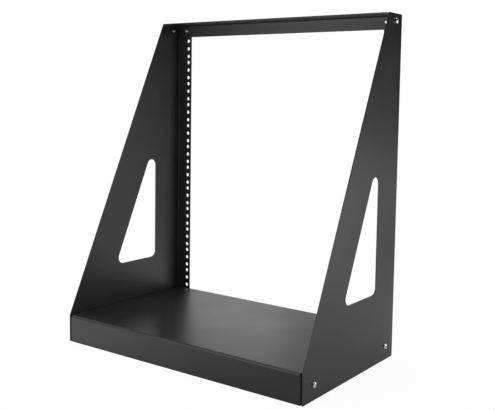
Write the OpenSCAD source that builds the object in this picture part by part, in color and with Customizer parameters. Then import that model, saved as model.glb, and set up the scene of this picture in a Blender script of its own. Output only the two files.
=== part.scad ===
/* [Rack] */
// Clear width between the two rails
opening_w = 450; // [360:1:600]
// Depth of the side panels on the floor
rack_d = 300; // [250:1:420]
// Number of rack units that the rails offer
units = 12; // [8:1:18]
// Height of one rack unit
unit_h = 44.45; // [36:0.05:54]
// Thickness of the sheet steel
sheet = 2; // [1.2:0.1:3]
// Inside radius of every fold
fold_r = 2; // [1:0.5:4]

/* [Rails] */
// Width of a rail, from its inner edge to the panel's outer face
rail_w = 35; // [28:1:60]
// Distance from a rail's inner edge to its column of equipment holes
hole_edge = 7.55; // [6:0.05:9.5]
// Step from a unit's highest hole to the next unit's lowest
unit_step = 12.7; // [10:0.1:16]
// Diameter of the equipment holes
rail_hole_d = 7.1; // [5:0.1:8.5]

/* [Base tray] */
// Height of the tray and of the panels' upright front edge
base_h = 50; // [40:1:90]
// Gap between the end of the front flange and the panel beside it
corner_gap = 2.5; // [0.5:0.1:3]
// Distance from the panel's front edge to the front base screw
base_screw_front = 31; // [25:1:60]
// Distance from the panel's rear face to the rear base screw
base_screw_rear = 32; // [25:1:60]

/* [Crossbar] */
// Depth of the crossbar and of the panels' level top edge
bar_d = 50; // [36:1:80]
// Height of the crossbar's rear flange and of its end tabs
bar_h = 25; // [20:1:40]
// Gap between the crossbar and the highest rack unit
bar_gap = 1.6; // [0.5:0.1:8]

/* [Panel cut-out] */
// Width of the panel between its slanted edge and the cut-out
cut_front = 75; // [60:1:80]
// Width of the panel between its rear face and the cut-out
cut_rear = 72; // [55:1:80]
// Height of the cut-out's lower edge above the tray
cut_rise = 76.5; // [50:0.5:100]
// Radius of the cut-out's corners
cut_r = 12.5; // [5:0.5:16]

/* [Screws] */
// Diameter of the screws
screw_d = 5; // [4:0.5:6]
// Length of the screws under the head
screw_len = 10; // [8:0.5:16]
// Reach of the pan heads past the screw, on the radius
head_reach = 2.25; // [1.5:0.05:3]
// Height of the pan heads
head_h = 3.7; // [3:0.1:4.5]
// Radius of the pan heads' domed top
dome_r = 8; // [6:0.5:16]
// Width of the cross recess from tip to tip
cross_w = 5.4; // [4:0.1:6]
// Width of each arm of the cross recess
cross_arm = 1.2; // [0.8:0.1:1.6]
// Depth of the cross recess
cross_depth = 2.2; // [1:0.1:2.6]
// Clearance round a screw in its panel, on the radius
screw_play = 0.25; // [0.1:0.05:0.5]

/* [Clinch nuts] */
// Wall of the nuts round the screw
nut_wall = 1.85; // [1.5:0.05:2.5]
// Height of the nuts above the sheet that holds them
nut_h = 2; // [1.5:0.1:3]
// Wall of the collar that is pressed into the sheet
collar_wall = 0.7; // [0.4:0.05:1.2]
// Length of the collar
collar_len = 1.1; // [0.6:0.1:1.2]
// Clearance of a screw in its nut and of a collar in its hole, on the radius
close_fit = 0.02; // [0.01:0.01:0.05]

/* [Hidden] */
// Steel of the frame, of the screws and of the nuts
paint = [0.09, 0.09, 0.095];
zinc = [0.78, 0.78, 0.76];
black_zinc = [0.16, 0.16, 0.17];

// Heights above the floor
top_unit_z = base_h + units * unit_h;
rack_h = top_unit_z + bar_gap + bar_h;
tray_screw_z = base_h / 2;
bar_screw_z = rack_h - bar_h / 2;

// Faces of the panels and rails, from the middle of the footprint
edge_x = opening_w / 2;
column_x = edge_x + hole_edge;
outer_x = edge_x + rail_w;
inner_x = outer_x - sheet;
front_y = -rack_d / 2;
rear_y = rack_d / 2;
rail_y = rear_y - sheet;
head_y = rear_y - bar_d;

// Outside radius of every fold, which is also the depth of a corner notch
fold_out = fold_r + sheet;

// Lean of the panels' slanted edge from the upright
lean = atan2(head_y - front_y, rack_h - base_h);

// Step between the three holes of one unit
hole_step = (unit_h - unit_step) / 2;

// Round sizes that follow the screw
head_d = screw_d + 2 * head_reach;
nut_d = screw_d + 2 * nut_wall;
collar_d = screw_d + 2 * collar_wall;

// Cutters run this far past the faces that they open
over = 1;

// Smoothness of round features
$fn = 48;

// Places of the right-hand screws: name, face that the head bears on, distance
// along that face (Y on the web of the side panel, X on the rail) and height
TRAY_SITES = [
    ["base_front", "web", front_y + base_screw_front, tray_screw_z],
    ["base_rear", "web", rear_y - base_screw_rear, tray_screw_z],
    ["base_rail", "rail", column_x, tray_screw_z],
];
BAR_SITES = [
    ["head_side", "web", rear_y - bar_d / 2, bar_screw_z],
    ["head_rail", "rail", column_x, bar_screw_z],
];
SITES = concat(TRAY_SITES, BAR_SITES);
HANDS = ["left", "right"];

function screw_name(hand, site) = str(hand, "_screw_", site[0]);
function nut_name(hand, site) = str(hand, "_nut_", site[0]);

// Everything is drawn for the right-hand side and mirrored for the left
module on_hand(hand) {
    mirror([hand == "left" ? 1 : 0, 0, 0]) children();
}

// Stands a [y, z] drawing upright across the rack, from x to x + thickness
module across(x, thickness) {
    translate([x, 0, 0]) rotate([90, 0, 90]) linear_extrude(thickness) children();
}

// Stands an [x, z] drawing upright along the rack, from y to y + thickness
module along(y, thickness) {
    translate([0, y + thickness, 0]) rotate([90, 0, 0]) linear_extrude(thickness) children();
}

// Puts +Z on a screw's axis, from the face under its head into the rack
module at_site(site) {
    if (site[1] == "web")
        translate([outer_x, site[2], site[3]]) rotate([0, -90, 0]) children();
    else
        translate([site[2], rear_y, site[3]]) rotate([90, 0, 0]) children();
}

// Round hole on a screw's axis, from one depth below the outer face to another
module site_hole(site, d, from, to) {
    at_site(site) translate([0, 0, from - over]) cylinder(d = d, h = to - from + 2 * over);
}

// Rectangle from the origin, rounded at the origin
module rounded_corner(w, h, r) {
    translate([r, 0]) square([w - r, h]);
    translate([0, r]) square([w, h - r]);
    translate([r, r]) circle(r);
}

// Section of folded sheet: outer corner at the origin, legs along +X and +Y
module fold_section(leg_x, leg_y) {
    difference() {
        rounded_corner(leg_x, leg_y, fold_out);
        translate([sheet, sheet]) rounded_corner(leg_x, leg_y, fold_r);
    }
}

// Rectangle that hangs from y = 0, centred on x = 0, with its top corners rounded
module rounded_top(w, h, r) {
    translate([-w / 2, -h]) square([w, h - r]);
    translate([r - w / 2, -r]) square([w - 2 * r, r]);
    for (side = [-1, 1])
        translate([side * (w / 2 - r), -r]) circle(r);
}

// Section of folded sheet with two flanges that hang from its ends
module channel_section(w, h) {
    difference() {
        rounded_top(w, h, fold_out);
        translate([0, -sheet]) rounded_top(w - 2 * sheet, h, fold_r);
    }
}

// Y of the line that lies an inset behind the slanted edge, at a height
function slant_y(inset, z) = front_y + inset / cos(lean) + (z - base_h) * tan(lean);

// Height of that line at a given Y
function slant_z(inset, y) = base_h + (y - front_y - inset / cos(lean)) / tan(lean);

// Triangular cut-out of a side panel, drawn as [y, z], with round corners
module cut_out_outline() {
    low = base_h + cut_rise + cut_r;
    back = rear_y - cut_rear - cut_r;
    rear_corner = [back, low];
    front_corner = [slant_y(cut_front + cut_r, low), low];
    top_corner = [back, slant_z(cut_front + cut_r, back)];
    to_slant = cut_r * [-cos(lean), sin(lean)];
    to_rear = [cut_r, 0];
    to_foot = [0, -cut_r];
    polygon([
        top_corner + to_rear, rear_corner + to_rear,
        rear_corner + to_foot, front_corner + to_foot,
        front_corner + to_slant, top_corner + to_slant
    ]);
    for (corner = [rear_corner, front_corner, top_corner])
        translate(corner) circle(cut_r);
}

// Side view of a side panel, drawn as [y, z]
module panel_outline() {
    polygon([
        [front_y, 0], [rear_y, 0], [rear_y, rack_h], [head_y, rack_h], [front_y, base_h]
    ]);
}

// Equipment holes of the right-hand rail, three to a unit
module rail_holes() {
    first_z = base_h + unit_step / 2;
    for (unit = [0 : units - 1])
        for (hole = [0 : 2])
            translate([column_x, rail_y - over, first_z + unit * unit_h + hole * hole_step])
                rotate([-90, 0, 0]) cylinder(d = rail_hole_d, h = sheet + 2 * over);
}

// Right-hand side panel: a web with the rail folded inwards along its rear edge
module side_panel() {
    color(paint) difference() {
        intersection() {
            linear_extrude(rack_h)
                translate([outer_x, rear_y]) rotate(180) fold_section(rail_w, rack_d);
            across(edge_x - over, rail_w + 2 * over) panel_outline();
        }
        across(inner_x - over, sheet + 2 * over) cut_out_outline();
        rail_holes();
        for (site = SITES)
            site_hole(site, screw_d + 2 * screw_play, 0, sheet);
    }
}

// Holes for the clinch nuts, in the sheet behind both panels
module nut_holes(sites) {
    for (hand = HANDS)
        on_hand(hand)
            for (site = sites)
                site_hole(site, collar_d + 2 * close_fit, sheet, 2 * sheet);
}

// Upturned pan that the equipment stands over, with a flange along each side
// and a notch at each corner; the front flange closes most of its two notches
module base_tray() {
    flat_x = inner_x - fold_out;
    flat_front = front_y + fold_out;
    flat_rear = rail_y - fold_out;
    flange_x = inner_x - corner_gap;
    color(paint) difference() {
        union() {
            across(-flat_x, 2 * flat_x)
                translate([(front_y + rail_y) / 2, base_h]) channel_section(rail_y - front_y, base_h);
            along(flat_front, flat_rear - flat_front)
                translate([0, base_h]) channel_section(2 * inner_x, base_h);
            translate([-flange_x, front_y, 0]) cube([2 * flange_x, sheet, base_h - fold_out]);
        }
        nut_holes(TRAY_SITES);
    }
}

// Bar over the rails: a plain front edge, a rear flange and a tab at each end
module top_crossbar() {
    flat_x = inner_x - fold_out;
    flat_rear = rail_y - fold_out;
    color(paint) difference() {
        union() {
            across(-flat_x, 2 * flat_x)
                translate([rail_y, rack_h]) rotate(180) fold_section(rail_y - head_y, bar_h);
            along(head_y, flat_rear - head_y)
                translate([0, rack_h]) channel_section(2 * inner_x, bar_h);
        }
        nut_holes(BAR_SITES);
    }
}

// Pan head above z = 0 with a cross recess in its domed top
module pan_head() {
    difference() {
        rotate_extrude() intersection() {
            square([head_d / 2, head_h]);
            translate([0, head_h - dome_r]) circle(dome_r);
        }
        for (turn = [0, 90])
            rotate(turn) translate([-cross_w / 2, -cross_arm / 2, head_h - cross_depth])
                cube([cross_w, cross_arm, cross_depth + over]);
    }
}

// Pan head screw of a right-hand place, its head against the panel
module screw(site) {
    color(zinc) at_site(site) {
        mirror([0, 0, 1]) pan_head();
        cylinder(d = screw_d, h = screw_len);
    }
}

// Clinch nut of a right-hand place, its collar in the sheet behind the panel
module clinch_nut(site) {
    color(black_zinc) at_site(site) translate([0, 0, 2 * sheet]) difference() {
        union() {
            cylinder(d = nut_d, h = nut_h);
            translate([0, 0, -collar_len]) cylinder(d = collar_d, h = collar_len);
        }
        translate([0, 0, -collar_len - over])
            cylinder(d = screw_d + 2 * close_fit, h = collar_len + nut_h + 2 * over);
    }
}

on_hand("left") side_panel();  // left_side_panel
on_hand("right") side_panel();  // right_side_panel
base_tray();
top_crossbar();
for (hand = HANDS) for (site = SITES) {
    on_hand(hand) screw(site);
    on_hand(hand) clinch_nut(site);
}
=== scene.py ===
"""Dresses the two-post open frame rack: coated sheets, plated screws and nuts, and the studio."""

import logging
import math
from collections.abc import Iterable, Mapping, Sequence
from dataclasses import dataclass, field
from enum import Enum

import bmesh
import bpy
from mathutils import Euler, Matrix, Vector


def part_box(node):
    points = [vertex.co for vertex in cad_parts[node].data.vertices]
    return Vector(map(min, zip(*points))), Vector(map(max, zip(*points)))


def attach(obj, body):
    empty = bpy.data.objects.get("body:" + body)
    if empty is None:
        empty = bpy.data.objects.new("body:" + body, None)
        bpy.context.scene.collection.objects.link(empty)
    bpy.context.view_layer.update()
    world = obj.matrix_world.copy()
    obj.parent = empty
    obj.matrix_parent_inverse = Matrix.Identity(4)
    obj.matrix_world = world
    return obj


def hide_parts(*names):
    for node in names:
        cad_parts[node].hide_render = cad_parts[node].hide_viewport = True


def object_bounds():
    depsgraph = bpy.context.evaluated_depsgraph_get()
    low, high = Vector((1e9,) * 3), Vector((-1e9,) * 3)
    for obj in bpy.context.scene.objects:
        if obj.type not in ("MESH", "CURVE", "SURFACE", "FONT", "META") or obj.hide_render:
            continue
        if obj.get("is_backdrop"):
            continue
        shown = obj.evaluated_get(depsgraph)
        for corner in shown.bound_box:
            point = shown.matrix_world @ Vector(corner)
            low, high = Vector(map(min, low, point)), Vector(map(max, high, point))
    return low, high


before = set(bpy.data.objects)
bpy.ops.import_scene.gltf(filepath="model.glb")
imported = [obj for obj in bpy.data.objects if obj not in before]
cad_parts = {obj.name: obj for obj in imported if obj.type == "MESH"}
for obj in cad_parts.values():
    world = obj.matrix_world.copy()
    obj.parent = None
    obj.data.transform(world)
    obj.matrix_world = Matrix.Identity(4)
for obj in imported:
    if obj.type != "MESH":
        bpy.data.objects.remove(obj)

LOG = logging.getLogger("rack")
BODY = "root"

# Lengths are written in millimetres and kept in metres, as the frame has them.
MM = 0.001
# Points nearer to each other than this are one point.
WELD = 1e-6
# Width of the photograph's frame, in pixels.
PHOTO_WIDTH = 495
WHITE = (1.0, 1.0, 1.0, 1.0)
# Faces of a turned part that meet at a sharper bend than this keep a crisp edge.
CRISP_BEND = math.radians(35)
# Shares of its mouth that the cross recess keeps at its floor.
CROSS_FOOT_WIDTH = 0.34
CROSS_FOOT_ARM = 0.70
# Nearly all values of one noise lie in the first span, and of two blended ones in the second.
ONE_NOISE = (0.3, 0.7)
TWO_NOISES = (0.35, 0.65)


class Slot(Enum):
    """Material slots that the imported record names."""

    COAT = "powder_coat"
    BRIGHT = "bright_zinc"
    BLACK = "black_zinc"


class Hand(Enum):
    """Side of the rack that a part belongs to."""

    LEFT = "left"
    RIGHT = "right"


class Site(Enum):
    """Places of the screws on one hand of the rack."""

    BASE_FRONT = "base_front"
    BASE_REAR = "base_rear"
    BASE_RAIL = "base_rail"
    HEAD_SIDE = "head_side"
    HEAD_RAIL = "head_rail"


Value = float | int | bool | str | Sequence[float] | bpy.types.ID | bpy.types.NodeSocket
Operand = float | bpy.types.NodeSocket


class Graph:
    """A node tree that is wired up one node at a time."""

    def __init__(self, tree: bpy.types.NodeTree) -> None:
        """Starts an empty graph.

        Args:
            tree: The node tree, whose own nodes are removed.
        """
        self.tree = tree
        tree.nodes.clear()

    def add(
        self, kind: str, feeds: Mapping[str | int, Value] | None = None, **settings: Value
    ) -> bpy.types.Node:
        """Adds a node, sets it up and feeds its inputs.

        Args:
            kind: Blender's name of the node type.
            feeds: Values or sockets for its inputs, by name or by number.
            settings: Properties of the node itself.

        Returns:
            The new node.
        """
        node = self.tree.nodes.new(kind)
        for name, value in settings.items():
            setattr(node, name, value)
        for key, value in (feeds or {}).items():
            self.feed(node.inputs[key], value)
        return node

    def feed(self, socket: bpy.types.NodeSocket, value: Value) -> None:
        """Links a socket into an input, or sets the input's own value.

        Args:
            socket: The input.
            value: A socket to link, or a value.
        """
        if isinstance(value, bpy.types.NodeSocket):
            self.tree.links.new(value, socket)
        else:
            socket.default_value = value

    def math(self, operation: str, *operands: Operand) -> bpy.types.NodeSocket:
        """Returns the result of one arithmetic step on the operands."""
        node = self.add("ShaderNodeMath", dict(enumerate(operands)), operation=operation)
        return node.outputs[0]

    def vector(self, operation: str, *operands: Value) -> bpy.types.NodeSocket:
        """Takes one vector step.

        Args:
            operation: Blender's name of the step.
            operands: What it works on.

        Returns:
            The vector that the step gives, or the number where it gives one.
        """
        node = self.add("ShaderNodeVectorMath", dict(enumerate(operands)), operation=operation)
        scalar = operation in {"DOT_PRODUCT", "LENGTH", "DISTANCE"}
        return node.outputs["Value" if scalar else "Vector"]

    def remap(
        self,
        value: bpy.types.NodeSocket,
        span: Sequence[float],
        to: Sequence[float],
        smooth: bool = False,
    ) -> bpy.types.NodeSocket:
        """Maps a span of values to another and holds the ends.

        Args:
            value: The value to map.
            span: Its two ends.
            to: What the two ends become.
            smooth: True for a smooth step.

        Returns:
            The mapped value.
        """
        feeds = {0: value, 1: span[0], 2: span[1], 3: to[0], 4: to[1]}
        kind = "SMOOTHSTEP" if smooth else "LINEAR"
        return self.add("ShaderNodeMapRange", feeds, interpolation_type=kind).outputs[0]

    def noise(
        self, at: bpy.types.NodeSocket, grain: float, detail: float = 2.0
    ) -> bpy.types.NodeSocket:
        """Adds noise.

        Args:
            at: The place.
            grain: About the length of one grain, in metres.
            detail: How many finer layers lie on it.

        Returns:
            The noise at the place, from 0 to 1.
        """
        feeds = {"Vector": at, "Scale": 1 / grain, "Detail": detail}
        return self.add("ShaderNodeTexNoise", feeds).outputs[0]

    def blend(self, one: Operand, other: Operand, share: float) -> bpy.types.NodeSocket:
        """Returns the sum of the one value at its share and of the other at the rest."""
        rest = self.math("MULTIPLY", other, 1.0 - share)
        return self.math("ADD", self.math("MULTIPLY", one, share), rest)


def new_material(name: str) -> tuple[bpy.types.Material, Graph]:
    """Makes a material with an empty node tree.

    Args:
        name: Name of the material.

    Returns:
        The material and the graph of its tree.
    """
    material = bpy.data.materials.new(name)
    material.use_nodes = True
    return material, Graph(material.node_tree)


@dataclass(frozen=True)
class PowderCoat:
    """Satin black powder coat: a dark resin skin with a fine, even peel.

    Attributes:
        tone: Its grey, and how far that drifts.
        roughness: Its roughness, and how far that drifts.
        drift_share: How much of the roughness follows the slow drift and not the grit.
        peel: Length of the peel's waves, and their height.
        grit: Length of the finer grit, and its height.
        drift: Length of the slow drift.
    """

    tone: float = 0.014
    tone_drift: float = 0.002
    roughness: float = 0.36
    roughness_drift: float = 0.025
    drift_share: float = 0.6
    peel: float = 1.3 * MM
    peel_height: float = 0.022 * MM
    grit: float = 0.45 * MM
    grit_height: float = 0.008 * MM
    drift: float = 70 * MM

    def material(self) -> bpy.types.Material:
        """Makes the coat.

        Returns:
            The coat as a node material.
        """
        material, graph = new_material("satin_black_coat")
        at = graph.add("ShaderNodeTexCoord").outputs["Object"]
        drift = graph.noise(at, self.drift)
        grit = graph.noise(at, self.grit, detail=1.0)
        peel = graph.noise(at, self.peel)
        low, high = self.tone - self.tone_drift, self.tone + self.tone_drift
        tone = graph.remap(drift, ONE_NOISE, (low, high))
        colour = graph.add("ShaderNodeCombineColor", {0: tone, 1: tone, 2: tone}).outputs[0]
        low, high = self.roughness - self.roughness_drift, self.roughness + self.roughness_drift
        uneven = graph.blend(drift, grit, self.drift_share)
        roughness = graph.remap(uneven, TWO_NOISES, (low, high))
        feeds = {"Height": peel, "Distance": self.peel_height}
        skin = graph.add("ShaderNodeBump", feeds).outputs[0]
        feeds = {"Height": grit, "Distance": self.grit_height, "Normal": skin}
        skin = graph.add("ShaderNodeBump", feeds).outputs[0]
        feeds = {"Base Color": colour, "Roughness": roughness, "Normal": skin}
        shader = graph.add("ShaderNodeBsdfPrincipled", feeds)
        graph.add("ShaderNodeOutputMaterial", {"Surface": shader.outputs[0]})
        return material


@dataclass(frozen=True)
class ZincPlate:
    """Zinc plating on steel, bright or passivated black.

    Attributes:
        name: Name of the material.
        tone: Its grey, and how far that drifts.
        roughness: Its roughness, and how far that drifts.
        crystal: Length of the crystal grain.
        drift: Length of the slower drift.
        drift_share: How much of the tone follows the drift and not the grain.
        grain_height: How far the crystals stand out.
    """

    name: str
    tone: float
    tone_drift: float
    roughness: float
    roughness_drift: float
    crystal: float = 0.35 * MM
    drift: float = 2.5 * MM
    drift_share: float = 0.5
    grain_height: float = 0.002 * MM

    def material(self) -> bpy.types.Material:
        """Makes the plating.

        Returns:
            The plating as a node material.
        """
        material, graph = new_material(self.name)
        at = graph.add("ShaderNodeTexCoord").outputs["Object"]
        drift = graph.noise(at, self.drift)
        grain = graph.noise(at, self.crystal)
        low, high = self.tone - self.tone_drift, self.tone + self.tone_drift
        uneven = graph.blend(drift, grain, self.drift_share)
        tone = graph.remap(uneven, TWO_NOISES, (low, high))
        colour = graph.add("ShaderNodeCombineColor", {0: tone, 1: tone, 2: tone}).outputs[0]
        low, high = self.roughness - self.roughness_drift, self.roughness + self.roughness_drift
        roughness = graph.remap(drift, ONE_NOISE, (low, high))
        feeds = {"Height": grain, "Distance": self.grain_height}
        skin = graph.add("ShaderNodeBump", feeds).outputs[0]
        feeds = {"Base Color": colour, "Metallic": 1.0, "Roughness": roughness, "Normal": skin}
        shader = graph.add("ShaderNodeBsdfPrincipled", feeds)
        graph.add("ShaderNodeOutputMaterial", {"Surface": shader.outputs[0]})
        return material


BRIGHT_ZINC = ZincPlate(
    name="bright_zinc_plate", tone=0.80, tone_drift=0.05, roughness=0.30, roughness_drift=0.05
)
BLACK_ZINC = ZincPlate(
    name="black_zinc_plate", tone=0.07, tone_drift=0.02, roughness=0.40, roughness_drift=0.06
)


def link_new(name: str, mesh: bpy.types.Mesh) -> bpy.types.Object:
    """Puts a mesh into the scene.

    Args:
        name: Name of the object.
        mesh: Its mesh, already in place.

    Returns:
        The new object.
    """
    piece = bpy.data.objects.new(name, mesh)
    bpy.context.scene.collection.objects.link(piece)
    return piece


def bake_modifiers(piece: bpy.types.Object) -> None:
    """Turns what the modifiers of a piece make into its own plain mesh.

    Args:
        piece: The piece, which has no modifier afterwards.
    """
    evaluated = piece.evaluated_get(bpy.context.evaluated_depsgraph_get())
    mesh = bpy.data.meshes.new_from_object(evaluated)
    piece.modifiers.clear()
    piece.data = mesh
    mesh.name = piece.name


def tie(piece: bpy.types.Object, nodes: Iterable[str]) -> None:
    """Ties a finished piece to the frame.

    Args:
        piece: The piece.
        nodes: The CAD nodes that it stands for.
    """
    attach(piece, BODY)
    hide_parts(*nodes)


def report(piece: bpy.types.Object) -> None:
    """Logs the name of a piece and its number of triangles."""
    piece.data.calc_loop_triangles()
    LOG.info("%s: %d triangles", piece.name, len(piece.data.loop_triangles))


@dataclass
class FoldedSheet:
    """One folded and coated sheet, with its cut edges eased as a coated sheet's are.

    Attributes:
        node: The CAD node that gives its shape.
        coat: Its material.
        edge_round: Width of the eased edge.
        edge_steps: Number of faces across it.
        sharp: Edges that bend more than this are eased, and so the folds stay.
        flat: Faces that bend less than this become one.
    """

    node: str
    coat: bpy.types.Material
    edge_round: float = 0.3 * MM
    edge_steps: int = 2
    sharp: float = math.radians(32)
    flat: float = math.radians(0.2)

    def build(self) -> bpy.types.Object:
        """Copies the frame's sheet, merges it and rounds its cut edges.

        Returns:
            The sheet, still bare.
        """
        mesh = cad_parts[self.node].data.copy()
        mesh.materials.clear()
        mesh.attributes.remove(mesh.attributes["custom_normal"])
        shell = bmesh.new()
        shell.from_mesh(mesh)
        bmesh.ops.remove_doubles(shell, verts=shell.verts, dist=WELD)
        bmesh.ops.dissolve_limit(
            shell, angle_limit=self.flat, verts=shell.verts, edges=shell.edges, delimit=set()
        )
        shell.to_mesh(mesh)
        shell.free()
        mesh.shade_smooth()
        piece = link_new(f"coated_{self.node}", mesh)
        rounding = piece.modifiers.new("cut_edges", "BEVEL")
        rounding.width = self.edge_round
        rounding.segments = self.edge_steps
        rounding.limit_method = "ANGLE"
        rounding.angle_limit = self.sharp
        rounding.use_clamp_overlap = True
        rounding.harden_normals = True
        bake_modifiers(piece)
        return piece

    def dress(self, piece: bpy.types.Object) -> None:
        """Coats the sheet and ties it to the frame.

        Args:
            piece: The bare sheet.
        """
        piece.data.materials.append(self.coat)
        tie(piece, [self.node])


@dataclass
class SheetMetal:
    """The four folded sheets of the rack: two side panels, base tray and crossbar."""

    coat: PowderCoat = field(default_factory=PowderCoat)
    nodes: tuple[str, ...] = ("left_side_panel", "right_side_panel", "base_tray", "top_crossbar")

    def build(self) -> list[bpy.types.Object]:
        """Builds and dresses the sheets, all in one coat.

        Returns:
            The four sheets.
        """
        material = self.coat.material()
        pieces = []
        for node in self.nodes:
            sheet = FoldedSheet(node, material)
            piece = sheet.build()
            sheet.dress(piece)
            pieces.append(piece)
        return pieces


@dataclass(frozen=True)
class Station:
    """A point of a turned outline.

    Attributes:
        radius: How far it is from the axis.
        height: How far along the axis it is.
        thread: Share of the thread's depth that is cut there.
        knurl: Share of the knurl's depth that is cut there.
    """

    radius: float
    height: float
    thread: float = 0.0
    knurl: float = 0.0


@dataclass
class TurnedTree:
    """Geometry tree that turns an outline about +Z and repeats it over a set of places.

    Attributes:
        name: Name of the tree.
        cross: True where the part has a cross recess in its top.
    """

    name: str
    cross: bool = False

    def __post_init__(self) -> None:
        """Makes the tree with its named inputs."""
        self.group = bpy.data.node_groups.new(self.name, "GeometryNodeTree")
        self.graph = Graph(self.group)
        self.sockets: dict[str, str] = {}
        self.declare("Places", "NodeSocketGeometry")
        self.declare("Outline", "NodeSocketObject")
        self.declare("Finish", "NodeSocketMaterial")
        self.declare("Facets", "NodeSocketInt")
        for size in ("Pitch", "Thread depth", "Knurl depth"):
            self.declare(size, "NodeSocketFloat")
        self.declare("Knurl teeth", "NodeSocketInt")
        if self.cross:
            for size in ("Cross width", "Cross arm", "Cross floor", "Cross rim"):
                self.declare(size, "NodeSocketFloat")
        self.group.interface.new_socket(
            name="Parts", in_out="OUTPUT", socket_type="NodeSocketGeometry"
        )
        self.given = self.graph.add("NodeGroupInput").outputs
        turned = self.turned()
        if self.cross:
            turned = self.crossed(turned)
        self.finish(turned)

    def declare(self, name: str, kind: str) -> None:
        """Adds a named input and remembers its identifier."""
        item = self.group.interface.new_socket(name=name, in_out="INPUT", socket_type=kind)
        self.sockets[name] = item.identifier

    def turned(self) -> bpy.types.NodeSocket:
        """Turns the outline about the axis, with its thread and knurl.

        Returns:
            The closed mesh of one turned part.
        """
        graph, given = self.graph, self.given
        source = graph.add("GeometryNodeObjectInfo", {"Object": given["Outline"]})
        outline = source.outputs["Geometry"]
        size = graph.add("GeometryNodeAttributeDomainSize", {"Geometry": outline}, component="MESH")
        rows = size.outputs["Point Count"]
        columns = graph.math("ADD", given["Facets"], 1.0)
        grid = graph.add("GeometryNodeMeshGrid", {"Vertices X": columns, "Vertices Y": rows})
        index = graph.add("GeometryNodeInputIndex").outputs[0]
        # Half a point more keeps the division clear of whole numbers, where it could round down.
        step = graph.math("FLOOR", graph.math("DIVIDE", graph.math("ADD", index, 0.5), rows))
        row = graph.math("SUBTRACT", index, graph.math("MULTIPLY", step, rows))
        turn = graph.math("DIVIDE", step, given["Facets"])
        angle = graph.math("MULTIPLY", turn, math.tau)
        at = graph.add("GeometryNodeInputPosition").outputs[0]
        point = self.sampled(outline, at, "FLOAT_VECTOR", row)
        thread = self.sampled(outline, self.named("thread"), "FLOAT", row)
        knurl = self.sampled(outline, self.named("knurl"), "FLOAT", row)
        split = graph.add("ShaderNodeSeparateXYZ", {0: point}).outputs
        radius, height = split["X"], split["Z"]
        phase = graph.math("SUBTRACT", graph.math("DIVIDE", height, given["Pitch"]), turn)
        cut = self.wave(phase, given["Thread depth"], thread)
        teeth = graph.math("MULTIPLY", turn, given["Knurl teeth"])
        notch = self.wave(teeth, given["Knurl depth"], knurl)
        radius = graph.math("SUBTRACT", graph.math("SUBTRACT", radius, cut), notch)
        place = graph.add(
            "ShaderNodeCombineXYZ",
            {
                "X": graph.math("MULTIPLY", radius, graph.math("COSINE", angle)),
                "Y": graph.math("MULTIPLY", radius, graph.math("SINE", angle)),
                "Z": height,
            },
        ).outputs[0]
        feeds = {"Geometry": grid.outputs["Mesh"], "Position": place}
        swept = graph.add("GeometryNodeSetPosition", feeds).outputs[0]
        feeds = {"Geometry": swept, "Distance": WELD}
        return graph.add("GeometryNodeMergeByDistance", feeds).outputs[0]

    def named(self, name: str, kind: str = "FLOAT") -> bpy.types.NodeSocket:
        """Returns a value that is stored on the points under its name."""
        node = self.graph.add("GeometryNodeInputNamedAttribute", {"Name": name}, data_type=kind)
        return node.outputs[0]

    def sampled(
        self,
        source: bpy.types.NodeSocket,
        value: bpy.types.NodeSocket,
        kind: str,
        row: bpy.types.NodeSocket,
    ) -> bpy.types.NodeSocket:
        """Reads a value of the outline at one of its points.

        Args:
            source: The outline.
            value: What is read.
            kind: Type of the value.
            row: Number of the point.

        Returns:
            The value there.
        """
        node = self.graph.add("GeometryNodeSampleIndex", data_type=kind, domain="POINT")
        self.graph.feed(node.inputs["Geometry"], source)
        self.graph.feed(node.inputs["Value"], value)
        self.graph.feed(node.inputs["Index"], row)
        return node.outputs[0]

    def wave(self, phase: Operand, depth: Operand, share: Operand) -> bpy.types.NodeSocket:
        """Makes a groove that is deepest half way through each turn of the phase.

        Args:
            phase: The number of turns so far.
            depth: How deep the groove is.
            share: The share of that depth that the outline asks for.

        Returns:
            How deep the groove is there.
        """
        cosine = self.graph.math("COSINE", self.graph.math("MULTIPLY", phase, math.tau))
        swing = self.graph.math("MULTIPLY", self.graph.math("SUBTRACT", 1.0, cosine), 0.5)
        return self.graph.math("MULTIPLY", self.graph.math("MULTIPLY", swing, depth), share)

    def crossed(self, head: bpy.types.NodeSocket) -> bpy.types.NodeSocket:
        """Cuts a tapered cross recess into the top of a head.

        Args:
            head: The turned part.

        Returns:
            The part with its recess.
        """
        graph, given = self.graph, self.given
        depth = graph.math("SUBTRACT", given["Cross rim"], given["Cross floor"])
        tall = graph.math("MULTIPLY", depth, 2.0)
        feeds = {"X": given["Cross width"], "Y": given["Cross arm"], "Z": tall}
        size = graph.add("ShaderNodeCombineXYZ", feeds).outputs[0]
        blank = graph.add("GeometryNodeMeshCube", {"Size": size}).outputs["Mesh"]
        lift = graph.add("ShaderNodeCombineXYZ", {"Z": given["Cross rim"]}).outputs[0]
        feeds = {"Geometry": blank, "Translation": lift}
        blank = graph.add("GeometryNodeTransform", feeds).outputs[0]
        at = graph.add("GeometryNodeInputPosition").outputs[0]
        split = graph.add("ShaderNodeSeparateXYZ", {0: at}).outputs
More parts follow.
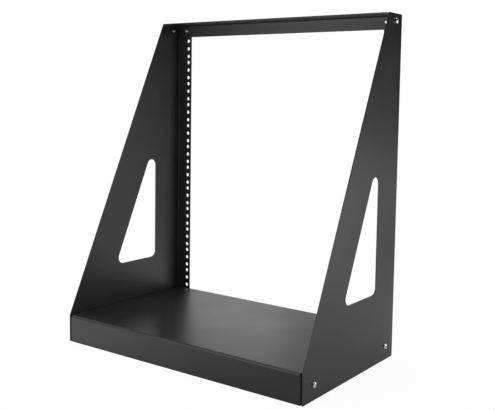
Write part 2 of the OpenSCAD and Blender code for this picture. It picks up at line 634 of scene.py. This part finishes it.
        # The blank stands half in the head: its foot narrows, and its top widens as much.
        end = graph.math("SIGN", graph.math("SUBTRACT", split["Z"], given["Cross rim"]))
        sides = []
        for axis, foot in (("X", CROSS_FOOT_WIDTH), ("Y", CROSS_FOOT_ARM)):
            widening = graph.math("ADD", 1.0, graph.math("MULTIPLY", end, 1.0 - foot))
            sides.append(graph.math("MULTIPLY", split[axis], widening))
        feeds = {"X": sides[0], "Y": sides[1], "Z": split["Z"]}
        taper = graph.add("ShaderNodeCombineXYZ", feeds).outputs[0]
        feeds = {"Geometry": blank, "Position": taper}
        blade = graph.add("GeometryNodeSetPosition", feeds).outputs[0]
        feeds = {"Geometry": blade, "Rotation": (0.0, 0.0, math.pi / 2)}
        quarter = graph.add("GeometryNodeTransform", feeds).outputs[0]
        settings = {"operation": "DIFFERENCE", "solver": "EXACT"}
        cut = graph.add("GeometryNodeMeshBoolean", {"Mesh 1": head}, **settings)
        graph.feed(cut.inputs["Mesh 2"], blade)
        graph.feed(cut.inputs["Mesh 2"], quarter)
        return cut.outputs["Mesh"]

    def finish(self, part: bpy.types.NodeSocket) -> None:
        """Puts the part at every place, makes it real and gives it its finish.

        Args:
            part: The mesh of one part, with its bearing face at z = 0 and its outer end above.
        """
        graph, given = self.graph, self.given
        bend = graph.add("GeometryNodeInputMeshEdgeAngle").outputs["Unsigned Angle"]
        feeds = {"A": bend, "B": CRISP_BEND}
        gentle = graph.add("FunctionNodeCompare", feeds, operation="LESS_THAN").outputs[0]
        feeds = {"Geometry": part, "Shade Smooth": True}
        part = graph.add("GeometryNodeSetShadeSmooth", feeds).outputs[0]
        feeds = {"Geometry": part, "Shade Smooth": gentle}
        part = graph.add("GeometryNodeSetShadeSmooth", feeds, domain="EDGE").outputs[0]
        aim = self.named("aim", "FLOAT_VECTOR")
        feeds = {"Points": given["Places"], "Instance": part, "Rotation": aim}
        placed = graph.add("GeometryNodeInstanceOnPoints", feeds).outputs[0]
        real = graph.add("GeometryNodeRealizeInstances", {"Geometry": placed}).outputs[0]
        feeds = {"Geometry": real, "Material": given["Finish"]}
        dressed = graph.add("GeometryNodeSetMaterial", feeds).outputs[0]
        graph.add("NodeGroupOutput", {0: dressed})

    def run(
        self, name: str, places: bpy.types.Mesh, sizes: Mapping[str, Value]
    ) -> bpy.types.Object:
        """Runs the tree and keeps its result as one plain mesh.

        Args:
            name: Name of the piece.
            places: A mesh with a point for each copy and an aim on each point.
            sizes: Values of the named inputs.

        Returns:
            The finished piece.
        """
        piece = link_new(name, places)
        modifier = piece.modifiers.new(self.name, "NODES")
        modifier.node_group = self.group
        for size, value in sizes.items():
            modifier[self.sockets[size]] = value
        bake_modifiers(piece)
        return piece


def outline_object(name: str, stations: Sequence[Station]) -> bpy.types.Object:
    """Stores a turned outline as a chain of points with its thread and knurl.

    Args:
        name: Name of the outline.
        stations: Its points, from the one end of the axis to the other.

    Returns:
        An object that holds the outline.
    """
    mesh = bpy.data.meshes.new(name)
    points = [(station.radius, 0.0, station.height) for station in stations]
    mesh.from_pydata(points, [(i, i + 1) for i in range(len(points) - 1)], [])
    for key in ("thread", "knurl"):
        attribute = mesh.attributes.new(key, "FLOAT", "POINT")
        attribute.data.foreach_set("value", [getattr(station, key) for station in stations])
    return link_new(name, mesh)


def arc(
    centre: tuple[float, float], radius: float, start: float, end: float, steps: int
) -> list[Station]:
    """Sets out stations along an arc of the outline.

    Args:
        centre: Radius and height of the arc's centre.
        radius: The arc's own radius.
        start: Its first angle in degrees, from the way straight out.
        end: Its last angle in degrees.
        steps: Number of steps from the one to the other.

    Returns:
        The stations, both ends among them.
    """
    stations = []
    for step in range(steps + 1):
        angle = math.radians(start + (end - start) * step / steps)
        out, up = radius * math.cos(angle), radius * math.sin(angle)
        stations.append(Station(centre[0] + out, centre[1] + up))
    return stations


@dataclass(frozen=True)
class Seat:
    """Where a fastener sits: its bearing point, the way its head faces and its spin."""

    point: Vector
    outward: Vector
    spin: float

    def aim(self) -> Euler:
        """Returns the turn that puts +Z along the outward way, after the spin about +Z."""
        facing = self.outward.to_track_quat("Z", "Y").to_matrix()
        return (facing @ Matrix.Rotation(self.spin, 3, "Z")).to_euler()


def seats_mesh(name: str, seats: Iterable[Seat]) -> bpy.types.Mesh:
    """Stores the seats as points with an aim on each.

    Args:
        name: Name of the mesh.
        seats: The seats.

    Returns:
        The mesh.
    """
    seats = list(seats)
    mesh = bpy.data.meshes.new(name)
    mesh.from_pydata([seat.point for seat in seats], [], [])
    aim = mesh.attributes.new("aim", "FLOAT_VECTOR", "POINT")
    aim.data.foreach_set("vector", [turn for seat in seats for turn in seat.aim()])
    return mesh


def each_site() -> list[tuple[Hand, Site]]:
    """Returns every hand with every site."""
    return [(hand, site) for hand in Hand for site in Site]


def faces_out(hand: Hand, site: Site) -> Vector:
    """Finds the way that the screw head of a site faces.

    Args:
        hand: Side of the rack.
        site: Place of the screw on that side.

    Returns:
        The way, one unit long.
    """
    if site in {Site.BASE_RAIL, Site.HEAD_RAIL}:
        return Vector((0.0, 1.0, 0.0))
    return Vector((1.0 if hand is Hand.RIGHT else -1.0, 0.0, 0.0))


def node_name(hand: Hand, kind: str, site: Site) -> str:
    """Returns the name of a fastener's node."""
    return f"{hand.value}_{kind}_{site.value}"


def node_names(kind: str) -> list[str]:
    """Returns the names of all nodes of one kind of fastener."""
    return [node_name(hand, kind, site) for hand, site in each_site()]


def panel_face(hand: Hand, outward: Vector) -> float:
    """Returns how far out the panel's face lies, along the way that a head faces."""
    low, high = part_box(f"{hand.value}_side_panel")
    return max(low.dot(outward), high.dot(outward))


@dataclass
class ScrewSet:
    """The ten pan head screws, each with a cross recess and a rolled thread.

    Attributes:
        plate: Their finish.
        shoulder: Radius of the head's rim, under the dome.
        bearing_ease: Ease of the head's edge where it bears.
        rows_per_turn: Points of the outline in each turn of the thread.
        point_chamfer: Length of the plain lead at both ends of the thread.
        cross_width: Length of the recess across the head, at its mouth.
        cross_arm: Width of each arm there.
        facets: Number of faces round the axis.
        first_spin: Turn of the first screw's recess.
        spin_step: Turn from each screw's recess to the next one's.
    """

    plate: ZincPlate = BRIGHT_ZINC
    head_diameter: float = 9.5 * MM
    head_height: float = 3.7 * MM
    dome_radius: float = 8.0 * MM
    shoulder: float = 0.6 * MM
    shoulder_steps: int = 4
    dome_steps: int = 7
    bearing_ease: float = 0.15 * MM
    shank_diameter: float = 5.0 * MM
    length: float = 10.0 * MM
    pitch: float = 0.8 * MM
    thread_depth: float = 0.42 * MM
    rows_per_turn: int = 6
    point_chamfer: float = 0.5 * MM
    cross_width: float = 5.2 * MM
    cross_arm: float = 1.2 * MM
    cross_depth: float = 2.2 * MM
    facets: int = 32
    first_spin: float = math.radians(20)
    spin_step: float = math.radians(37)

    def outline(self) -> list[Station]:
        """Draws the outline of a screw.

        Returns:
            Its stations, from the middle of the point to the middle of the dome.
        """
        shank = self.shank_diameter / 2
        head = self.head_diameter / 2
        lead = self.point_chamfer
        stations = [Station(0.0, -self.length), Station(shank - lead, -self.length)]
        rows = round((self.length - 2 * lead) / self.pitch * self.rows_per_turn)
        for row in range(rows + 1):
            height = -self.length + lead + (self.length - 2 * lead) * row / rows
            stations.append(Station(shank, height, thread=1.0 if row < rows else 0.0))
        ease = self.bearing_ease
        stations += [Station(shank, 0.0), Station(head - ease, 0.0), Station(head, ease)]
        centre = self.head_height - self.dome_radius
        inner = self.dome_radius - self.shoulder
        low = math.acos((head - self.shoulder) / inner)
        rim = (head - self.shoulder, centre + inner * math.sin(low))
        turn = math.degrees(low)
        stations += arc(rim, self.shoulder, 0.0, turn, self.shoulder_steps)
        stations += arc((0.0, centre), self.dome_radius, turn, 90.0, self.dome_steps)[1:]
        return stations

    def seats(self) -> list[Seat]:
        """Finds where the screws sit.

        Returns:
            The seat of each screw, on the outer face of its panel.
        """
        seats = []
        for order, (hand, site) in enumerate(each_site()):
            outward = faces_out(hand, site)
            low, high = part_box(node_name(hand, "screw", site))
            middle = (low + high) / 2
            point = middle - outward * middle.dot(outward) + outward * panel_face(hand, outward)
            seats.append(Seat(point, outward, self.first_spin + self.spin_step * order))
        return seats

    def build(self) -> list[bpy.types.Object]:
        """Builds and dresses the screws.

        Returns:
            The one piece that holds all ten.
        """
        outline = outline_object("screw_outline", self.outline())
        sizes = {
            "Outline": outline,
            "Finish": self.plate.material(),
            "Facets": self.facets,
            "Pitch": self.pitch,
            "Thread depth": self.thread_depth,
            "Knurl depth": 0.0,
            "Knurl teeth": 1,
            "Cross width": self.cross_width,
            "Cross arm": self.cross_arm,
            "Cross floor": self.head_height - self.cross_depth,
            "Cross rim": self.head_height,
        }
        tree = TurnedTree("turned_screws", cross=True)
        piece = tree.run("pan_head_screws", seats_mesh("screw_seats", self.seats()), sizes)
        bpy.data.objects.remove(outline)
        self.dress(piece)
        return [piece]

    def dress(self, piece: bpy.types.Object) -> None:
        """Ties the screws to the frame, where they stand for all ten of its own."""
        tie(piece, node_names("screw"))


@dataclass
class NutSet:
    """The ten clinch nuts behind the screws, each with a knurled foot in the sheet.

    Attributes:
        plate: Their finish.
        collar_diameter: Diameter of the foot that sits in the sheet.
        chamfer: Ease of the nut's far face.
        knurl_height: Height of the knurled band above the sheet.
        knurl_lead: How far the band fades out.
        seat_ease: Ease of the nut's edge where it bears.
        facets: Number of faces round the axis.
        pitch: Pitch that the tree needs, though the bore is plain.
        spin_step: Turn from each nut's knurl to the next one's.
    """

    plate: ZincPlate = BLACK_ZINC
    diameter: float = 8.7 * MM
    height: float = 2.0 * MM
    collar_diameter: float = 6.4 * MM
    collar_length: float = 1.1 * MM
    bore_diameter: float = 5.04 * MM
    chamfer: float = 0.35 * MM
    knurl_height: float = 0.55 * MM
    knurl_lead: float = 0.15 * MM
    seat_ease: float = 0.1 * MM
    knurl_depth: float = 0.25 * MM
    knurl_teeth: int = 24
    facets: int = 96
    pitch: float = 1 * MM
    spin_step: float = math.radians(11)

    def outline(self) -> list[Station]:
        """Draws the outline of a nut.

        Returns:
            Its stations as a ring, from the mouth of the bore round to it again.
        """
        bore = self.bore_diameter / 2
        collar = self.collar_diameter / 2
        body = self.diameter / 2
        ease = self.chamfer
        return [
            Station(bore, -self.height + ease / 2),
            Station(bore + ease / 2, -self.height),
            Station(body - ease, -self.height),
            Station(body, -self.height + ease),
            Station(body, -self.knurl_height - self.knurl_lead),
            Station(body, -self.knurl_height, knurl=1.0),
            Station(body, -self.seat_ease, knurl=1.0),
            Station(body - self.seat_ease, 0.0, knurl=1.0),
            Station(collar, 0.0),
            Station(collar, self.collar_length),
            Station(bore, self.collar_length),
            Station(bore, -self.height + ease / 2),
        ]

    def seats(self) -> list[Seat]:
        """Finds where the nuts sit.

        Returns:
            The seat of each nut, on the inner face of the sheet that holds it.
        """
        seats = []
        for order, (hand, site) in enumerate(each_site()):
            outward = faces_out(hand, site)
            low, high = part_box(node_name(hand, "nut", site))
            middle = (low + high) / 2
            inner = min(low.dot(outward), high.dot(outward)) + self.height
            point = middle - outward * middle.dot(outward) + outward * inner
            seats.append(Seat(point, outward, self.spin_step * order))
        return seats

    def build(self) -> list[bpy.types.Object]:
        """Builds and dresses the nuts.

        Returns:
            The one piece that holds all ten.
        """
        outline = outline_object("nut_outline", self.outline())
        sizes = {
            "Outline": outline,
            "Finish": self.plate.material(),
            "Facets": self.facets,
            "Pitch": self.pitch,
            "Thread depth": 0.0,
            "Knurl depth": self.knurl_depth,
            "Knurl teeth": self.knurl_teeth,
        }
        tree = TurnedTree("turned_nuts")
        piece = tree.run("clinch_nuts", seats_mesh("nut_seats", self.seats()), sizes)
        bpy.data.objects.remove(outline)
        self.dress(piece)
        return [piece]

    def dress(self, piece: bpy.types.Object) -> None:
        """Ties the nuts to the frame, where they stand for all ten of its own."""
        tie(piece, node_names("nut"))


@dataclass(frozen=True)
class Glow:
    """A soft bright stretch of the studio, as gloss sees it.

    Attributes:
        azimuth: Where its middle is, in degrees from +Y towards +X.
        elevation: How high that is, in degrees.
        spread: How far it reaches, in degrees.
        strength: Level of its middle, where 1 is white.
    """

    azimuth: float
    elevation: float
    spread: float
    strength: float

    def way(self) -> Vector:
        """Finds the way to its middle.

        Returns:
            The way, one unit long.
        """
        turn, rise = math.radians(self.azimuth), math.radians(self.elevation)
        flat = math.cos(rise)
        return Vector((math.sin(turn) * flat, math.cos(turn) * flat, math.sin(rise)))


@dataclass(frozen=True)
class SoftLamp:
    """A rectangular soft lamp that faces the middle of the rack.

    Attributes:
        name: Name of the lamp.
        place: Where it hangs.
        width: How wide it is.
        height: How high it is.
        level: How bright its face is, where 1 is white.
    """

    name: str
    place: tuple[float, float, float]
    width: float
    height: float
    level: float

    def hang(self, middle: Vector) -> None:
        """Hangs the lamp.

        Args:
            middle: The point that it faces.
        """
        light = bpy.data.lights.new(self.name, "AREA")
        light.shape = "RECTANGLE"
        light.size, light.size_y = self.width, self.height
        light.energy = math.pi * self.width * self.height * self.level
        lamp = bpy.data.objects.new(self.name, light)
        bpy.context.scene.collection.objects.link(lamp)
        lamp.location = self.place
        lamp.rotation_euler = (middle - Vector(self.place)).to_track_quat("-Z", "Y").to_euler()


@dataclass(frozen=True)
class PaintedFloorShading:
    """Painted light and shade on the floor that only gloss sees: a soft patch, brighter or darker
    than the rest.

    Attributes:
        middle: Its middle.
        reach: How far from there it ends.
        level: What it adds to the floor's level in its middle: above 0 a painted pool of light,
            below 0 a painted shadow.
    """

    middle: tuple[float, float, float]
    reach: float
    level: float


@dataclass
class Studio:
    """Pale floor that shows white, pale surroundings and soft lamps.

    Attributes:
        white: Level that shows as white.
        fill: Level of the light from all round.
        floor_tone: Grey of the floor where it is plainly lit.
        floor_clear: Shares of plain white that the floor shows, near the rack and far from it.
        floor_clearing: Distances between which the one share becomes the other.
        floor_sheen: Share of its painted level that the floor shows to gloss, the rest being its
            real lit grey.
        floor_rings: Distances from the rack's middle, each with the floor's level for gloss:
            painted brightness that only reflections show.
        painted_floor_shading: Painted pools of light and a painted shadow that lie on the rings.
        shade_inset: How far inside the tray's outline the plainly lit floor begins.
        glows: Bright stretches all round.
        lamps: The soft lamps.
    """

    white: float = 1.0
    fill: float = 0.8
    floor_radius: float = 6.0
    floor_segments: int = 96
    floor_drop: float = 0.05 * MM
    floor_tone: float = 0.85
    floor_clear: tuple[float, float] = (0.95, 1.0)
    floor_clearing: tuple[float, float] = (0.5, 1.6)
    floor_sheen: float = 0.5
    floor_rings: tuple[tuple[float, float], ...] = (
        (0.8, 0.5),
        (1.2, 0.0),
        (1.75, 0.0),
        (2.65, 0.9),
    )
    # Painted pools of light at the front left and behind the rack, and a painted shadow of the rack
    # at the front right, all seen only in reflections.
    painted_floor_shading: tuple[PaintedFloorShading, ...] = (
        PaintedFloorShading((-0.32, -0.25, 0.0), 0.4, 1.05),
        PaintedFloorShading((0.0, 0.5, 0.0), 0.45, 2.0),
        PaintedFloorShading((0.22, -0.3, 0.0), 0.3, -0.5),
    )
    shade_inset: float = 2 * MM
    glows: tuple[Glow, ...] = (Glow(-32.5, 15.0, 15.0, 0.9), Glow(0.0, 85.0, 40.0, 3.4))
    lamps: tuple[SoftLamp, ...] = (
        SoftLamp("right_lamp", (1.5, 0.9, 0.35), 1.0, 0.7, 1.3),
        SoftLamp("right_low_lamp", (0.95, 0.55, 0.12), 0.45, 0.35, 1.9),
        SoftLamp("rear_left_lamp", (-0.7, 0.8, 0.45), 0.5, 0.4, 0.88),
        SoftLamp("rear_high_lamp", (0.0, 1.8, 1.8), 1.6, 1.2, 0.3),
        SoftLamp("left_lamp", (-2.0, 0.0, 0.8), 1.6, 1.4, 2.5),
        SoftLamp("front_left_lamp", (-0.47, -0.9, 0.5), 0.6, 0.45, 3.1),
        SoftLamp("front_low_lamp", (-0.3, -1.1, 0.25), 0.5, 0.35, 1.6),
    )

    def build(self) -> None:
        """Builds the floor, the surroundings and the lamps."""
        self.lay_floor()
        self.light_world()
        low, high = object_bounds()
        middle = Vector((0.0, 0.0, (low.z + high.z) / 2))
        for lamp in self.lamps:
            lamp.hang(middle)

    def lay_floor(self) -> None:
        """Lays a round pale floor that shows white and keeps a faint shadow."""
        mesh = bpy.data.meshes.new("floor")
        disc = bmesh.new()
        bmesh.ops.create_circle(
            disc, cap_ends=True, segments=self.floor_segments, radius=self.floor_radius
        )
        disc.to_mesh(mesh)
        disc.free()
        mesh.transform(Matrix.Translation((0.0, 0.0, -self.floor_drop)))
        floor = link_new("floor", mesh)
        mesh.materials.append(self.floor_material())
        floor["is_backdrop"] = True

    def floor_material(self) -> bpy.types.Material:
        """Makes the pale floor, which is plainly lit under the tray and shows white round it.

        Returns:
            The floor's material.
        """
        material, graph = new_material("pale_floor")
        material.cycles.emission_sampling = "NONE"
        at = graph.add("ShaderNodeTexCoord").outputs["Object"]
        tone = self.floor_tone
        pale = graph.add("ShaderNodeBsdfDiffuse", {"Color": (tone, tone, tone, 1.0)}).outputs[0]
        path = graph.add("ShaderNodeLightPath").outputs
        radius = graph.vector("LENGTH", at)
        clear = graph.math("ADD", path["Is Camera Ray"], path["Is Transmission Ray"])
        clearing = graph.remap(radius, self.floor_clearing, self.floor_clear, smooth=True)
        clear = graph.math("MULTIPLY", graph.math("MINIMUM", clear, 1.0), clearing)
        sheen = graph.math("MULTIPLY", path["Is Glossy Ray"], self.floor_sheen)
        share = graph.math("MAXIMUM", clear, sheen)
        share = graph.math("MULTIPLY", share, self.outside(graph, at))
        # To gloss the floor glows with its painted light and shade, mixed with its real lit grey.
        level = self.pick(graph, path["Is Glossy Ray"], self.white, self.floor_painted_light(graph, at))
        glow = graph.add("ShaderNodeEmission", {"Color": WHITE, "Strength": level})
        lit = graph.add("ShaderNodeMixShader", {0: share, 1: pale, 2: glow.outputs[0]}).outputs[0]
        away = graph.add("ShaderNodeNewGeometry").outputs["Backfacing"]
        below = graph.add("ShaderNodeBsdfTransparent").outputs[0]
        shown = graph.add("ShaderNodeMixShader", {0: away, 1: lit, 2: below}).outputs[0]
        graph.add("ShaderNodeOutputMaterial", {"Surface": shown})
        return material

    def outside(self, graph: Graph, at: bpy.types.NodeSocket) -> bpy.types.NodeSocket:
        """Tells the open floor, which is 1, from the floor under the tray, which is 0.

        Args:
            graph: The floor's graph.
            at: The place on the floor.

        Returns:
            The switch.
        """
        low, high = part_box("base_tray")
        reach = (high - low) / 2 - Vector((self.shade_inset, self.shade_inset, 0.0))
        apart = graph.vector("ABSOLUTE", graph.vector("SUBTRACT", at, (low + high) / 2))
        split = graph.add("ShaderNodeSeparateXYZ", {0: apart}).outputs
        aside = graph.math("GREATER_THAN", split["X"], reach.x)
        along = graph.math("GREATER_THAN", split["Y"], reach.y)
        return graph.math("MAXIMUM", aside, along)

    def floor_painted_light(self, graph: Graph, at: bpy.types.NodeSocket) -> Operand:
        """Sets out the floor's painted light and shade for gloss, in soft rings with soft patches
        on them.

        Args:
            graph: The floor's graph.
            at: The place on the floor.

        Returns:
            The level there.
        """
        radius = graph.vector("LENGTH", at)
        level: Operand = self.floor_rings[0][1]
        for (inner, before), (outer, after) in zip(self.floor_rings, self.floor_rings[1:]):
            step = graph.remap(radius, (inner, outer), (0.0, after - before), smooth=True)
            level = graph.math("ADD", level, step)
        for patch in self.painted_floor_shading:
            away = graph.vector("DISTANCE", at, patch.middle)
            # Each patch paints a pool of light, or a shadow where its level is below 0.
            glow = graph.remap(away, (0.0, patch.reach), (patch.level, 0.0), smooth=True)
            level = graph.math("ADD", level, glow)
        return level

    def light_world(self) -> None:
        """Surrounds the rack with white for the camera, an even fill, and soft glows for gloss."""
        world = bpy.data.worlds.new("studio")
        bpy.context.scene.world = world
        world.use_nodes = True
        world.cycles.sampling_method = "NONE"
        graph = Graph(world.node_tree)
        way = graph.add("ShaderNodeTexCoord").outputs["Generated"]
        seen: Operand = 0.0
        for glow in self.glows:
            near = graph.vector("DOT_PRODUCT", way, glow.way())
            edge = math.cos(math.radians(glow.spread))
            lobe = graph.remap(near, (edge, 1.0), (0.0, glow.strength), smooth=True)
            seen = graph.math("ADD", seen, lobe)
        path = graph.add("ShaderNodeLightPath").outputs
        level = self.pick(graph, path["Is Glossy Ray"], self.fill, seen)
        clear = graph.math("ADD", path["Is Camera Ray"], path["Is Transmission Ray"])
        level = self.pick(graph, graph.math("MINIMUM", clear, 1.0), level, self.white)
        feeds = {"Color": WHITE, "Strength": level}
        background = graph.add("ShaderNodeBackground", feeds).outputs[0]
        graph.add("ShaderNodeOutputWorld", {"Surface": background})

    def pick(
        self, graph: Graph, switch: bpy.types.NodeSocket, off: Operand, on: Operand
    ) -> bpy.types.NodeSocket:
        """Returns the one level or the other, as a switch says."""
        return graph.add("ShaderNodeMix", {0: switch, 2: off, 3: on}).outputs[0]


@dataclass(frozen=True)
class PhotoCamera:
    """The photograph's camera: where it stood and how it was turned and framed.

    Attributes:
        place: Where it stood.
        yaw: Its turn from +Y, towards +X.
        pitch: How far up it looks.
        roll: Its turn about its own axis.
        focal_pixels: Its focal length, in pixels of the photograph.
        offset_pixels: The middle of its view from the frame's middle, to the right and down.
        sensor: Width of its sensor, in millimetres.
        nearest: Distance at which its view starts.
        farthest: Distance at which its view ends.
    """

    place: tuple[float, float, float] = (870 * MM, -1112 * MM, 460.5 * MM)
    yaw: float = math.radians(-34.73)
    pitch: float = math.radians(-4.93)
    roll: float = math.radians(1.02)
    focal_pixels: float = 782.0
    offset_pixels: tuple[float, float] = (28.2, -39.2)
    sensor: float = 36.0
    nearest: float = 0.05
    farthest: float = 60.0

    def build(self) -> None:
        """Makes the camera and sets the plain view transform."""
        data = bpy.data.cameras.new("photo_camera")
        data.sensor_width = self.sensor
        data.lens = self.focal_pixels / PHOTO_WIDTH * self.sensor
        data.shift_x = -self.offset_pixels[0] / PHOTO_WIDTH
        data.shift_y = self.offset_pixels[1] / PHOTO_WIDTH
        data.clip_start = self.nearest
        data.clip_end = self.farthest
        camera = bpy.data.objects.new("photo_camera", data)
        bpy.context.scene.collection.objects.link(camera)
        ahead = Vector(
            (
                math.sin(self.yaw) * math.cos(self.pitch),
                math.cos(self.yaw) * math.cos(self.pitch),
                math.sin(self.pitch),
            )
        )
        right = Vector((math.cos(self.yaw), -math.sin(self.yaw), 0.0))
        up = right.cross(ahead)
        tilted = math.cos(self.roll) * right + math.sin(self.roll) * up
        upright = math.cos(self.roll) * up - math.sin(self.roll) * right
        turn = Matrix((tilted, upright, -ahead)).transposed()
        camera.matrix_world = Matrix.Translation(self.place) @ turn.to_4x4()
        bpy.context.scene.camera = camera
        bpy.context.scene.view_settings.view_transform = "Standard"


def main() -> None:
    """Builds the camera, the rack and its studio, in that order."""
    logging.basicConfig(level=logging.INFO, format="%(name)s: %(message)s")
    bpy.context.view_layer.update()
    PhotoCamera().build()
    for part in (SheetMetal(), ScrewSet(), NutSet()):
        for piece in part.build():
            report(piece)
    Studio().build()


if __name__ == "__main__":
    main()
